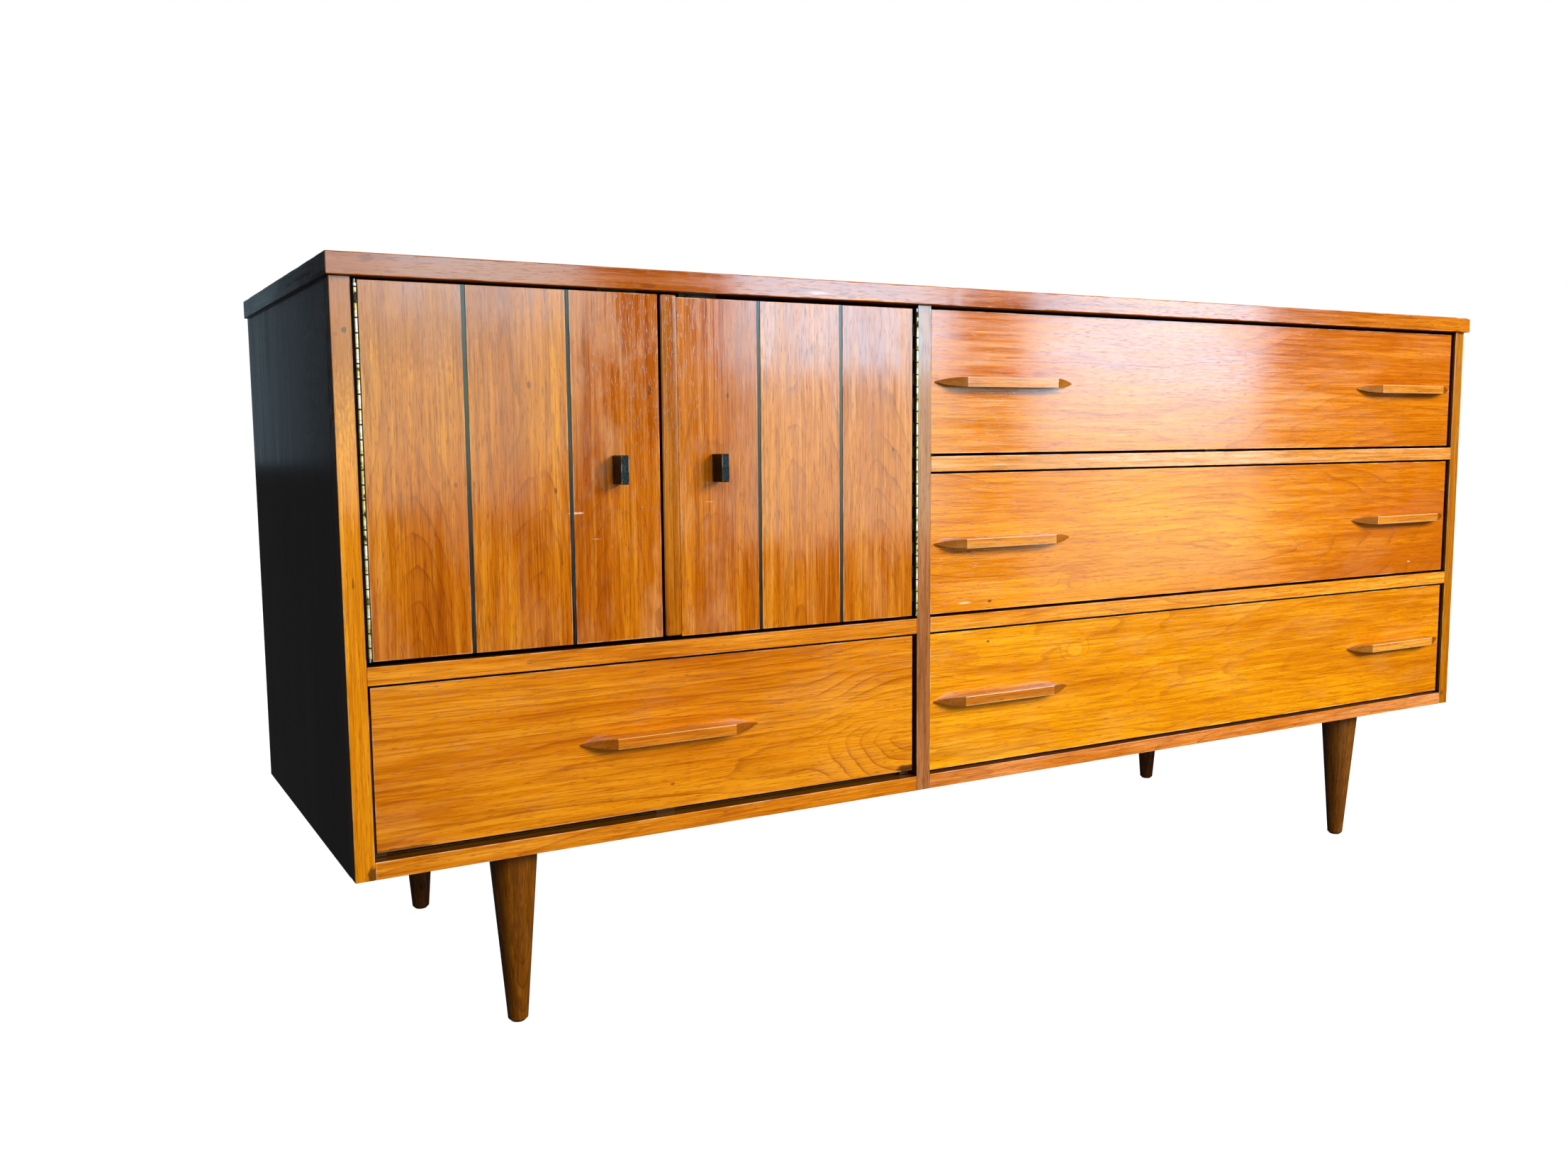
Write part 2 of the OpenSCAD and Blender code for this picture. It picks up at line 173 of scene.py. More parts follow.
def growth_rings(shade, point, parts, figure, shift):
    """Where growth rings about a sloping pith meet the face, as thin dark lines.
    The rings close into arches between figure's start and end along the grain."""
    along, across, _ = parts
    sway = shade.noise(point, (2.6, 10, 10), shift, 3.0)
    tremble = shade.noise(point, (14, 75, 75), shift, 2.0)
    a = shade.math("SUBTRACT", across, figure["middle"])
    a = shade.plus(a, shade.times(shade.math("SUBTRACT", sway, 0.5), figure["sway"]))
    b = shade.span(along, figure["start"], figure["end"], figure["deep"], figure["shallow"])
    b = shade.plus(b, shade.times(shade.math("SUBTRACT", tremble, 0.5), figure["gap"] * 0.6))
    radius = shade.math("SQRT", shade.plus(shade.times(a, a), shade.times(b, b)))
    for eye in figure.get("eyes", ()):
        away = distance_to(shade, point, eye)
        radius = shade.plus(radius, shade.span(away, 0.0, 2.6, figure["gap"] * 2.3, 0.0))
    uneven = shade.times(shade.noise(point, (3, 16, 16), shift, 1.0), figure["gap"] * 4)
    saw = shade.math("FRACT", shade.times(shade.plus(radius, uneven), 1 / figure["gap"]))
    crisp = shade.times(shade.span(saw, 0.80, 0.95), 0.45)
    line = shade.plus(crisp, shade.times(shade.math("POWER", saw, 2.5), 0.5))
    line = shade.times(line, shade.span(saw, 1.0, 0.96))
    faint = shade.span(shade.noise(point, (6, 34, 34), shift, 3.0), 0.38, 0.64, 0.25, 1.0)
    return shade.times(line, faint)


def distance_to(shade, point, mark):
    """Distance from a mark (along, across, half length, half height), counted in its own size."""
    along, across, half_along, half_across = mark[:4]
    scale = (1 / half_along, 1 / half_across, 0)
    shift = (-along / half_along, -across / half_across, 0)
    node = shade.nodes.new("ShaderNodeVectorMath")
    node.operation = "LENGTH"
    shade.put(node.inputs[0], shade.place(point, scale, shift))
    return node.outputs["Value"]


def worn_arris(shade, parts, edges, shift, point):
    """1 on the arrises round the face whose sides are edges, broken up by noise."""
    nearest = None
    for part, (low, high) in zip(parts, edges):
        from_low = shade.math("SUBTRACT", part, low)
        inside = shade.math("MINIMUM", from_low, shade.math("SUBTRACT", high, part))
        nearest = inside if nearest is None else shade.math("MINIMUM", nearest, inside)
    patch = shade.span(shade.noise(point, (35, 35, 35), shift, 3.0), 0.45, 0.66)
    return shade.times(shade.span(nearest, 0.3 * MM, 1.3 * MM, 1.0, 0.0), patch)


def wood(name, axes, tone, seed, figure=None, edges=None, marks=(), gloss=0.105, dust=0.0, haze=0.03,
         shine=0.5, drift=None, wear=0.5, gap_shade_axis=None, tone_shift=0.92, bloom_and_sheen=0.0, handle_highlight_and_shade=0.0):
    """Oiled and lacquered timber. tone gives its deep, middle, light and line colours;
    drift is (start, end, amount) of a slow change of colour along the grain. gap_shade_axis is the
    axis across a board whose edges are painted dark with shade, as far as tone_shift says.
    bloom_and_sheen is how far pale cloudy patches cover it, partly a dulled finish and partly a
    painted sheen. handle_highlight_and_shade is how strong a painted highlight, partly rubbed wear,
    lies on a handle's long arrises; its ends are then dark, partly end grain and partly painted
    shade, and its underside dark with a painted shadow. dust is how far fine dust dulls the faces
    that look up."""
    shade = Shade(name, Specular_IOR_Level=shine)
    point, parts = shade.here(axes)
    rng = random.Random(seed)
    shift = tuple(rng.uniform(-40, 40) for _ in range(3))
    cloud = shade.noise(point, (1.6, 8, 8), shift, 3.0)
    band = shade.noise(point, (3, 36, 36), shift, 3.0, 0.6)
    streak = shade.noise(point, (5, 170, 170), shift, 4.0, 0.65)
    fibre = shade.noise(point, (30, 800, 800), shift, 3.0, 0.6)
    pore = shade.span(shade.noise(point, (85, 950, 950), shift, 1.0), 0.60, 0.70)
    mottle = 0.0
    for layer, share in ((cloud, 0.36), (band, 0.14), (streak, 0.32), (fibre, 0.18)):
        mottle = shade.plus(shade.times(layer, share), mottle)
    if drift:
        mottle = shade.plus(mottle, shade.span(parts[0], drift[0], drift[1], 0.0, drift[2]))
    colour = shade.ramp(mottle, (0.405, tone["deep"]), (0.5, tone["middle"]), (0.605, tone["light"]))
    if figure:
        line = growth_rings(shade, point, parts, figure, shift)
        colour = shade.mix(shade.times(line, figure.get("strength", 0.5)), colour, tone["line"])
    thread = shade.span(shade.noise(point, (17, 560, 560), shift, 3.0, 0.6), 0.49, 0.63)
    colour = shade.mix(shade.times(thread, 0.42), colour, tone["line"])
    colour = shade.mix(shade.times(pore, 0.5), colour, tone["line"])
    smear = shade.span(shade.noise(point, (9, 22, 22), shift, 4.0, 0.6), 0.45, 0.62)
    rough = shade.plus(shade.times(smear, haze), shade.times(fibre, 0.05))
    rough = shade.plus(rough, shade.span(streak, 0.38, 0.62, gloss - 0.06, gloss + 0.01))
    if edges:
        worn = worn_arris(shade, parts, edges, shift, point)
        front = shade.math("ABSOLUTE", shade.facing(axes[2]))
        worn = shade.times(worn, shade.span(front, 0.3, 0.7))
        colour = shade.mix(shade.times(worn, wear), colour, tone["worn"])
        rough = shade.plus(rough, shade.times(worn, 0.2))
    # Pale cloudy patches: partly a dulled finish, partly a painted sheen standing in for the patchy
    # reflection of the windows.
    if bloom_and_sheen:
        cloudy = shade.span(shade.noise(point, (9, 22, 22), shift, 4.0, 0.65), 0.47, 0.66)
        colour = shade.mix(shade.times(cloudy, bloom_and_sheen), colour, tone["worn"])
    if handle_highlight_and_shade:
        # Partly end grain, partly painted shade: the handle's sloping ends are darkened.
        end = shade.math("ABSOLUTE", shade.facing(axes[0]))
        colour = shade.mix(shade.span(end, 0.2, 0.4, 0.0, 0.62), colour, tone["line"])
        # Painted shadow: the handle's underside is darkened.
        painted_underside_shadow = shade.math("SUBTRACT", 0.0, shade.facing(axes[1]))
        colour = shade.mix(shade.span(painted_underside_shadow, 0.5, 0.9, 0.0, 0.85), colour, DARK)
        # Painted highlight, partly rubbed wear: the long arrises between the front and the top and under
        # faces are paled.
        slant = shade.times(shade.facing(axes[1]), shade.facing(axes[2]))
        rubbed = shade.span(shade.math("ABSOLUTE", slant), 0.1, 0.35)
        rubbed = shade.times(rubbed, shade.span(end, 0.15, 0.3, handle_highlight_and_shade, 0.0))
        colour = shade.mix(rubbed, colour, tone["worn"])
    ragged = shade.times(shade.noise(point, (160, 420, 420), shift, 2.0), 0.9)
    for mark in marks:
        away = shade.plus(distance_to(shade, point, mark), ragged)
        inside = shade.span(away, 1.05, 1.45, 1.0, 0.0)
        colour = shade.mix(shade.times(inside, mark[5]), colour, mark[4])
    # Painted shade: the board's edges, whose faces turn away from this axis and look into the gaps between
    # parts, are darkened towards black as the shade in those gaps.
    if gap_shade_axis:
        flat = shade.math("ABSOLUTE", shade.facing(gap_shade_axis))
        colour = shade.mix(shade.span(flat, 0.2, 0.5, tone_shift, 0.0), colour, (0.012, 0.006, 0.003))
    if dust:
        lies = shade.times(shade.span(shade.facing("z"), 0.7, 0.98), dust)
        colour = shade.mix(shade.times(lies, 0.25), colour, (0.30, 0.26, 0.21))
        rough = shade.plus(rough, shade.times(lies, 0.6))
    height = shade.math("SUBTRACT", shade.times(fibre, 0.4), shade.times(pore, 0.6))
    return shade.finish(colour, rough, height, 0.05 * MM)


def tinted(tone, *factors):
    """A set of wood colours with each channel scaled."""
    return {part: tuple(min(1.0, channel * factor) for channel, factor in zip(colour, factors))
            for part, colour in tone.items()}


DOOR_TONE = {"deep": (0.36, 0.072, 0.0005), "middle": (0.54, 0.150, 0.001), "light": (0.73, 0.27, 0.004),
             "line": (0.19, 0.030, 0.0004), "worn": (0.85, 0.50, 0.22)}
STRIP_TONE = tinted(DOOR_TONE, 0.68, 0.62, 1.0)
DRAWER_TONE = {"deep": (0.54, 0.135, 0.0005), "middle": (0.74, 0.235, 0.001), "light": (0.92, 0.36, 0.005),
               "line": (0.34, 0.065, 0.0004), "worn": (0.95, 0.68, 0.36)}
UPPER_TONE = tinted(DRAWER_TONE, 0.90, 0.85, 1.0)
LOWER_TONE = tinted(DRAWER_TONE, 0.88, 0.84, 1.0)
BRIGHT_TONE = tinted(DRAWER_TONE, 1.06, 1.22, 1.0)
RAIL_TONE = {"deep": (0.52, 0.135, 0.0015), "middle": (0.74, 0.25, 0.006), "light": (0.95, 0.44, 0.04),
             "line": (0.26, 0.05, 0.001), "worn": (0.95, 0.78, 0.5)}
EDGE_TONE = {"deep": (0.32, 0.062, 0.001), "middle": (0.47, 0.118, 0.0015), "light": (0.66, 0.21, 0.006),
             "line": (0.18, 0.03, 0.0006), "worn": (0.90, 0.66, 0.42)}
STILE_TONE = {"deep": (0.28, 0.095, 0.028), "middle": (0.42, 0.160, 0.05), "light": (0.54, 0.235, 0.085),
              "line": (0.14, 0.042, 0.010), "worn": (0.75, 0.45, 0.25)}
# The side panels' walnut, darkened to near black with painted shade, as a side turned from the light
# looks.
PAINTED_SHADE_SIDE_TONE = {"deep": (0.014, 0.006, 0.003), "middle": (0.045, 0.020, 0.008), "light": (0.12, 0.058, 0.024),
             "line": (0.008, 0.004, 0.002), "worn": (0.20, 0.13, 0.08)}
LEG_TONE = {"deep": (0.17, 0.050, 0.0008), "middle": (0.30, 0.098, 0.001), "light": (0.46, 0.175, 0.003),
            "line": (0.07, 0.017, 0.0005), "worn": (0.45, 0.24, 0.07)}
# The legs' colour darkened with painted shade, for the legs that stand in shade.
PAINTED_SHADE_LEG_TONE = tinted(LEG_TONE, 0.55, 0.50, 2.0)
HANDLE_TONE = {"deep": (0.48, 0.14, 0.008), "middle": (0.66, 0.23, 0.015), "light": (0.84, 0.37, 0.045),
               "line": (0.17, 0.045, 0.004), "worn": (0.93, 0.68, 0.42)}
INNER_TONE = {"deep": (0.42, 0.25, 0.12), "middle": (0.55, 0.36, 0.19), "light": (0.66, 0.47, 0.28),
              "line": (0.30, 0.17, 0.08), "worn": (0.72, 0.56, 0.38)}

# Colours of single marks
PALE = (0.85, 0.62, 0.42)
DARK = (0.05, 0.014, 0.004)
BROWN = (0.24, 0.05, 0.004)
RUDDY = (0.33, 0.075, 0.008)


def face_edges(node, axes):
    """Limits of a node's box along the grain and across it."""
    low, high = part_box(node)
    return [(low[AXES[axis]], high[AXES[axis]]) for axis in axes[:2]]


def arches(node, axes, middle, start, end, gap, count=5, sway=0.03, **more):
    """A cathedral figure on a node's face; middle, start and end are shares of the face's size."""
    (low_u, high_u), (low_v, high_v) = face_edges(node, axes)
    figure = {
        "middle": low_v + middle * (high_v - low_v),
        "start": low_u + start * (high_u - low_u),
        "end": low_u + end * (high_u - low_u),
        "deep": gap * (count + 0.5),
        "shallow": gap * 0.4,
        "gap": gap,
        "sway": sway,
    }
    if start > end:
        figure["start"], figure["end"] = figure["end"], figure["start"]
        figure["deep"], figure["shallow"] = figure["shallow"], figure["deep"]
    figure.update(more)
    return figure


# Other materials ------------------------------------------------------


def plywood(name, thick, seed):
    """Bare plywood: face veneer, and its layers on the edges. thick is the axis through the sheet."""
    shade = Shade(name, Specular_IOR_Level=0.3)
    others = [axis for axis in "xyz" if axis != thick]
    point, parts = shade.here((others[0], others[1], thick))
    shift = (seed * 3.7, seed * 1.3, seed * 5.1)
    streak = shade.noise(point, (3, 90, 90), shift, 3.0)
    fibre = shade.noise(point, (25, 500, 500), shift)
    tone_shift = shade.noise(point, (5, 5, 5), shift, 4.0)
    value = shade.plus(shade.times(streak, 0.5), shade.times(fibre, 0.25))
    value = shade.plus(value, shade.times(tone_shift, 0.3))
    face = shade.ramp(value, (0.35, (0.26, 0.15, 0.07)), (0.55, (0.40, 0.26, 0.14)),
                      (0.75, (0.52, 0.37, 0.22)))
    layer = shade.math("FRACT", shade.times(parts[2], 1 / (2.4 * MM)))
    layers = shade.mix(shade.span(layer, 0.45, 0.55), (0.22, 0.12, 0.06), (0.46, 0.31, 0.18))
    on_edge = shade.span(shade.math("ABSOLUTE", shade.facing(thick)), 0.4, 0.6, 1.0, 0.0)
    colour = shade.mix(on_edge, face, layers)
    return shade.finish(colour, shade.plus(shade.times(fibre, 0.3), 0.5), fibre, 0.15 * MM)


def black_lacquer(name, grain):
    """Black paint with grey specks, mostly on its front and back faces, over a fine texture, and a painted
    highlight on its arrises.
    """
    shade = Shade(name, Specular_IOR_Level=0.14)
    point, _ = shade.here("zxy")
    speck = shade.noise(point, grain, detail=3.0, rough=0.7)
    dust = shade.span(speck, 0.52, 0.66)
    cloud = shade.noise(point, (60, 60, 60), detail=3.0)
    colour = shade.ramp(cloud, (0.35, (0.002, 0.002, 0.002)), (0.65, (0.006, 0.006, 0.006)))
    front = shade.math("ABSOLUTE", shade.facing("y"))
    settled = shade.times(dust, shade.span(front, 0.5, 0.9, 0.05, 0.8))
    colour = shade.mix(settled, colour, (0.045, 0.054, 0.062))
    # Painted highlight: the arrises between the knob's front and its sides are paled grey.
    slant = shade.math("ABSOLUTE", shade.times(shade.facing("x"), shade.facing("y")))
    rubbed = shade.times(shade.span(slant, 0.15, 0.4), shade.span(cloud, 0.42, 0.55, 0.2, 0.8))
    colour = shade.mix(rubbed, colour, (0.42, 0.44, 0.44))
    rough = shade.plus(shade.times(dust, 0.4), 0.08)
    return shade.finish(colour, rough, speck, 0.5 * MM)


def ebonised_strip(name):
    """Thin dark wood with open grain."""
    shade = Shade(name, Specular_IOR_Level=0.4)
    point, _ = shade.here("zxy")
    streak = shade.noise(point, (30, 900, 900), detail=3.0)
    cloud = shade.noise(point, (9, 40, 40), detail=2.0)
    value = shade.plus(shade.times(streak, 0.6), shade.times(cloud, 0.4))
    colour = shade.ramp(value, (0.4, (0.003, 0.003, 0.003)), (0.62, (0.034, 0.034, 0.036)))
    return shade.finish(colour, shade.plus(shade.times(streak, 0.2), 0.08), streak, 0.08 * MM)


def metal(name, bright, dull, seed, tarnish=0.5, gloss=0.25):
    """Metal that is brighter where it is rubbed, with spots of tarnish."""
    shade = Shade(name, Metallic=1.0)
    point, _ = shade.here("xyz")
    shift = (seed * 2.3, seed * 4.1, seed * 1.7)
    cloud = shade.noise(point, (70, 70, 70), shift, 4.0, 0.6)
    speck = shade.noise(point, (900, 900, 900), shift, 2.0)
    brush = shade.noise(point, (1400, 1400, 90), shift, 2.0)
    spots = shade.times(shade.span(cloud, 0.45, 0.65), tarnish)
    colour = shade.mix(spots, bright, dull)
    colour = shade.mix(shade.times(shade.span(speck, 0.55, 0.75), 0.35), colour, dull)
    rough = shade.plus(shade.plus(shade.times(spots, 0.3), shade.times(brush, 0.2)), gloss)
    return shade.finish(colour, rough, brush, 0.03 * MM)


# Mesh building --------------------------------------------------------


def new_piece(name, mesh_data, material, body):
    piece = bpy.data.objects.new(name, mesh_data)
    bpy.context.scene.collection.objects.link(piece)
    mesh_data.materials.append(material)
    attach(piece, body)
    return piece


def skin(build, rings):
    """Faces over closed rings of points, with a cap on each end."""
    rows = [[build.verts.new(point) for point in ring] for ring in rings]
    count = len(rings[0])
    for first, second in zip(rows, rows[1:]):
        for i in range(count):
            j = (i + 1) % count
            build.faces.new((first[i], first[j], second[j], second[i]))
    build.faces.new(rows[0])
    build.faces.new(rows[-1])


def finished(name, build):
    """The mesh that a bmesh holds, shaded smooth."""
    bmesh.ops.recalc_face_normals(build, faces=build.faces)
    data = bpy.data.meshes.new(name)
    build.to_mesh(data)
    build.free()
    data.shade_smooth()
    return data


def from_rings(name, rings):
    """A mesh skinned over rings of points."""
    build = bmesh.new()
    skin(build, rings)
    return finished(name, build)


def even_normals(piece):
    """Keeps a piece's flat faces flat in the shading."""
    modifier = piece.modifiers.new("flat faces", "WEIGHTED_NORMAL")
    modifier.weight = 60
    modifier.keep_sharp = True
    return piece


def rounded_section(half_a, half_b, radii):
    """Points round a rectangle about the origin whose four corners have their own radii."""
    steps = 3
    points = []
    for corner, (side_a, side_b) in enumerate([(-1, -1), (1, -1), (1, 1), (-1, 1)]):
        radius = radii[corner]
        centre_a = side_a * (half_a - radius)
        centre_b = side_b * (half_b - radius)
        for step in range(steps + 1):
            angle = math.pi + (corner + step / steps) * math.pi / 2
            points.append((centre_a + radius * math.cos(angle), centre_b + radius * math.sin(angle)))
    return points


def end_stations(low, high, rounding):
    """Places along a board as (position, how much the section shrinks there)."""
    step = 5 * MM
    angles = [math.radians(a) for a in (90, 60, 30, 0)]
    start = [(low + rounding * (1 - math.sin(a)), rounding * (1 - math.cos(a))) for a in angles]
    finish = [(low + high - position, inset) for position, inset in reversed(start)]
    count = max(1, round((high - low - 2 * rounding) / step))
    span = high - low - 2 * rounding
    middle = [(low + rounding + span * i / count, 0.0) for i in range(1, count)]
    return start + middle + finish


def worn_board(name, low, high, axes, arris, wear=0.0, seed=0, chips=(), mitre=None):
    """A board between two corners, swept along its grain, with arrises rubbed away unevenly.
    chips are (place, size) pairs of bites out of it; mitre(point) moves the points of its ends."""
    order = [AXES[axis] for axis in axes]
    low_u, low_v, low_w = (low[i] for i in order)
    high_u, high_v, high_w = (high[i] for i in order)
    middle_v, middle_w = (low_v + high_v) / 2, (low_w + high_w) / 2
    rings = []
    for along, inset in end_stations(low_u, high_u, arris):
        radii = []
        for corner in range(4):
            ripple = noise.noise(Vector((along * 38, corner * 5.3, seed * 7.7)))
            ripple += 0.6 * noise.noise(Vector((along * 150, corner * 9.1, seed * 3.1)))
            radii.append(arris + wear * max(0.0, ripple))
        section = rounded_section((high_v - low_v) / 2 - inset, (high_w - low_w) / 2 - inset, radii)
        ring = []
        for across, deep in section:
            place = [0.0, 0.0, 0.0]
            place[order[0]] = along
            place[order[1]] = middle_v + across
            place[order[2]] = middle_w + deep
            ring.append(Vector(place))
        rings.append(ring)
    centre = (Vector(low) + Vector(high)) / 2
    for ring in rings:
        for point in ring:
            if mitre:
                mitre(point)
            for chip in chips:
                bite(point, centre, chip, order[0])
    return from_rings(name, rings)


def bite(point, centre, chip, along):
    """Pushes a point inside a chip towards the board's middle line."""
    place, size, depth = chip
    offset = Vector([(p - c) / s for p, c, s in zip(point, place, size)])
    if offset.length >= 1:
        return
    inward = centre - point
    inward[along] = 0
    ragged = 0.75 + 0.5 * noise.noise(point * 400)
    point += inward.normalized() * depth * (1 - offset.length_squared) * ragged


def soft_corners(node, width):
    """Rounds a CAD node's arrises without touching its mesh."""
    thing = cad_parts[node]
    weld = thing.modifiers.new("weld", "WELD")
    weld.merge_threshold = 0.01 * MM
    bevel = thing.modifiers.new("arrises", "BEVEL")
    bevel.width = width
    bevel.segments = 3
    bevel.limit_method = "ANGLE"
    bevel.angle_limit = math.radians(50)
    bevel.harden_normals = True
    return thing


def dress(node, material, corners=0.0):
    """Gives a CAD node its material, and rounds its arrises where corners is given."""
    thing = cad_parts[node]
    for socket in thing.material_slots:
        socket.material = material
    if corners:
        soft_corners(node, corners)


# Case -----------------------------------------------------------------


def dress_case():
    # The side panels take a colour darkened with painted shade.
    plain = [("top_panel", "xyz", EDGE_TONE, 0.8, 0.22, 0.35),
             ("side_panel_left", "zyx", PAINTED_SHADE_SIDE_TONE, 0.6, 0.16, 0.3),
             ("side_panel_right", "zyx", PAINTED_SHADE_SIDE_TONE, 0.6, 0.16, 0.3)]
    for seed, (node, axes, tone, arris, gloss, shine) in enumerate(plain):
        figure = arches(node, axes, 0.45, 0.15, 0.85, 16 * MM, 6, 0.05, strength=0.45)
        look = wood(f"{node}_wood", axes, tone, seed + 3, figure, gloss=gloss, shine=shine, dust=0.3)
        dress(node, look, arris * MM)
    stile_marks = (((0.5, 1.05, 120, 190, RUDDY, 0.5), (0.5, 1.0, 120, 110, RUDDY, 0.4),
                    (0.22, 0.907, 2, 2, BROWN, 0.5), (0.62, 0.914, 2.6, 3, DARK, 0.7),
                    (0.52, 0.503, 1, 6, DARK, 0.6), (0.9, 0.01, 6, 9, DARK, 0.8)),
                   ((0.5, 0.02, 4, 4, BROWN, 0.3),), ((0.3, 0.03, 4, 4, DARK, 0.5),))
    stile_tones = (BRIGHT_TONE, STILE_TONE, tinted(EDGE_TONE, 1.05, 1.4, 1.0))
    for seed, node in enumerate(("stile_left", "stile_centre", "stile_right")):
        tone = stile_tones[seed]
        edges = face_edges(node, "zxy")
        figure = arches(node, "zxy", 1.6, -0.2, 1.2, 5 * MM, 4, 0.01, strength=0.4)
        low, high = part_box(node)
        marks = spots(low, high, False, *stile_marks[seed])
        look = wood(f"{node}_wood", "zxy", tone, seed + 20, figure, edges, marks, wear=0.25, gap_shade_axis="y")
        dress(node, look, 0.7 * MM)
    rails = ("rail_bottom_left", "rail_bottom_right", "rail_middle_left", "rail_middle_right",
             "rail_upper_right")
    tones = {"rail_upper_right": tinted(RAIL_TONE, 1.05, 1.3, 9.0),
             "rail_bottom_right": tinted(RAIL_TONE, 0.90, 0.82, 3.0)}
    for seed, node in enumerate(rails):
        edges = face_edges(node, "xzy")
        figure = arches(node, "xzy", 0.2 + 0.2 * seed, 0.1, 0.9, 6 * MM, 4, 0.02, strength=0.5)
        tone = tones.get(node, RAIL_TONE)
        # The bottom rails get a lighter coat of the painted gap shade, so their lit tops show under the
        # drawers.
        look = wood(f"{node}_wood", "xzy", tone, seed + 30, figure, edges, wear=0.35, gap_shade_axis="y",
                    tone_shift=0.75 if seed < 2 else 0.92)
        dress(node, look, 0.7 * MM)


def dress_inside():
    inner = {"centre_partition": "zyx", "drawer_guides": "yxz", "cupboard_shelf": "xyz",
             "bottom_panel": "xyz"}
    for seed, (node, axes) in enumerate(inner.items()):
        figure = arches(node, axes, 0.4, 0.1, 0.9, 14 * MM, 6, 0.04, strength=0.35)
        look = wood(f"{node}_wood", axes, INNER_TONE, seed + 50, figure, gloss=0.5, shine=0.3)
        dress(node, look, 0.5 * MM)
    sheets = {"cupboard_floor": "z", "dust_panels": "z", "back_panel": "y"}
    for seed, (node, thick) in enumerate(sheets.items()):
        dress(node, plywood(f"{node}_ply", thick, seed), 0.3 * MM)
    for n in range(1, 5):
        low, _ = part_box(f"drawer_{n}_sides")
        # Painted shade: a dark patch at the front lower corner of each drawer side, where it shows in the
        # gap under the drawer front.
        painted_shade_patch = [(low.y, low.z, 16 * MM, 7 * MM, DARK, 0.9)]
        look = wood(f"drawer_{n}_side_wood", "yzx", INNER_TONE, 60 + n, marks=painted_shade_patch, gloss=0.5,
                    shine=0.3)
        dress(f"drawer_{n}_sides", look, 0.8 * MM)
        look = wood(f"drawer_{n}_back_wood", "xzy", INNER_TONE, 70 + n, gloss=0.5, shine=0.3)
        dress(f"drawer_{n}_back", look, 0.6 * MM)
        dress(f"drawer_{n}_bottom", plywood(f"drawer_{n}_bottom_ply", "z", 5 + n))


def hinge_brass(start, knuckle):
    """Pale worn brass, black with grime at each joint between knuckles and in patches, and with painted
    shade on the knuckles' sides and behind their axis.
    """
    shade = Shade("brass", Metallic=0.4)
    point, parts = shade.here("xyz")
    cloud = shade.noise(point, (90, 90, 90), detail=4.0, rough=0.6)
    brush = shade.noise(point, (1400, 1400, 200))
    place = shade.math("FRACT", shade.times(shade.math("SUBTRACT", parts[2], start), 1 / knuckle))
    joint = shade.math("ABSOLUTE", shade.math("SUBTRACT", place, 0.5))
    grime_and_shade = shade.math("MAXIMUM", shade.span(joint, 0.43, 0.47), shade.span(cloud, 0.57, 0.64, 0.0, 0.95))
    # Painted shade: the brass behind the hinge's axis, deep in the gap, is turned black.
    grime_and_shade = shade.math("MAXIMUM", grime_and_shade, shade.span(parts[1], hinge_line_y(), hinge_line_y() + 1.2 * MM))
    # Painted shade: the knuckles' sides, which face into the gap, are turned black.
    painted_side_shade = shade.math("ABSOLUTE", shade.facing("x"))
    grime_and_shade = shade.math("MAXIMUM", grime_and_shade, shade.span(painted_side_shade, 0.5, 0.66))
    colour = shade.mix(grime_and_shade, shade.ramp(cloud, (0.40, (0.92, 0.84, 0.62)), (0.55, (0.62, 0.48, 0.12))),
                       (0.012, 0.009, 0.006))
    rough = shade.plus(shade.times(grime_and_shade, 0.4), shade.plus(shade.times(brush, 0.2), 0.25))
    return shade.finish(colour, rough, shade.times(grime_and_shade, -1.0), 0.15 * MM)


def hinge_line_y():
    """Depth of the door hinge's axis."""
    low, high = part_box("hinge_pins")
    return (low.y + high.y) / 2


def dress_metal():
    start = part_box("hinge_leaf_left")[0].z
    brass = hinge_brass(start, KNUCKLE)
    for node in ("hinge_leaves_case", "hinge_leaf_left", "hinge_leaf_right"):
        dress(node, brass)
    steel = metal("steel", (0.55, 0.55, 0.56), (0.20, 0.18, 0.16), 2, 0.6, 0.3)
    for node in ("leg_plates", "leg_bolts", "hinge_pins", "shelf_pins"):
        dress(node, steel)
    blued = metal("blued_steel", (0.10, 0.09, 0.08), (0.03, 0.02, 0.015), 3, 0.7, 0.45)
    for node in ("door_catches", "strike_left", "strike_right"):
        dress(node, blued)


